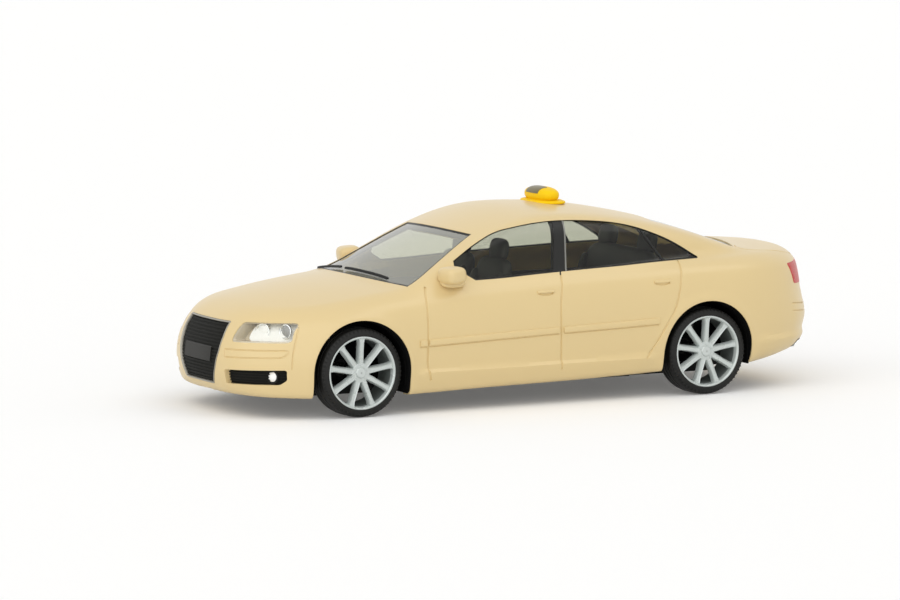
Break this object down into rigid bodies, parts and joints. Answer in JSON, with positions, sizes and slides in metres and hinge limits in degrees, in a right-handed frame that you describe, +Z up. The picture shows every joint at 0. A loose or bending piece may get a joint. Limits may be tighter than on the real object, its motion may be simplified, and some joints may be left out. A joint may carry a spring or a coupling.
{
  "type": "scale model taxi car",
  "caption": "Small-scale model of a four-door saloon taxi: moulded ivory body, clear glazing, interior, roof sign, and wheels pressed on steel axles that roll.",
  "frame": {"origin": "on the road under the middle of the car's length", "axes": "+Z up, nose towards -Y, the car's left side towards +X"},
  "size_m": [0.023, 0.0582, 0.018],
  "materials": {
    "body_plastic": "satin ivory",
    "clear_glazing": "clear, faint grey tint",
    "interior_plastic": "matt dark grey",
    "black_plastic": "matt black",
    "silver_trim": "silver print",
    "wheel_silver": "silver grey satin",
    "tyre": "matt",
    "axle_steel": "turned",
    "lamp_lens": "clear, pearly",
    "tail_lens": "translucent red",
    "sign_plastic": "gloss yellow",
    "sign_panel": "blank dark panel",
    "plate": "blank white"
  },
  "bodies": {
    "car": {"body_shell": "body_plastic", "chassis": "black_plastic", "exhaust_trim_left": "wheel_silver", "exhaust_trim_right": "wheel_silver", "fog_lamp_left": "lamp_lens", "fog_lamp_right": "lamp_lens", "front_plate": "plate", "front_seat_left": "interior_plastic", "front_seat_right": "interior_plastic", "glazing": "clear_glazing", "grille": "black_plastic", "grille_frame": "silver_trim", "headlight_left": "lamp_lens", "headlight_right": "lamp_lens", "interior": "interior_plastic", "lower_grille_left": "black_plastic", "lower_grille_right": "black_plastic", "mirror_left": "body_plastic", "mirror_right": "body_plastic", "rear_bench": "interior_plastic", "rear_plate": "plate", "roof_sign": "sign_plastic", "sign_foot": "sign_plastic", "sign_panel": "sign_panel", "steering_wheel": "interior_plastic", "tail_light_left": "tail_lens", "tail_light_right": "tail_lens", "wipers": "black_plastic"},
    "front_wheelset": {"front_axle": "axle_steel", "front_rim_left": "wheel_silver", "front_rim_right": "wheel_silver", "front_tyre_left": "tyre", "front_tyre_right": "tyre"},
    "rear_wheelset": {"rear_axle": "axle_steel", "rear_rim_left": "wheel_silver", "rear_rim_right": "wheel_silver", "rear_tyre_left": "tyre", "rear_tyre_right": "tyre"}
  },
  "joints": [
    {"name": "front_axle_roll", "type": "hinge", "parent": "car", "child": "front_wheelset", "pos_m": [0, -0.0184, 0.00384], "axis": [1, 0, 0], "continuous": true},
    {"name": "rear_axle_roll", "type": "hinge", "parent": "car", "child": "rear_wheelset", "pos_m": [0, 0.01544, 0.00384], "axis": [1, 0, 0], "continuous": true}
  ]
}
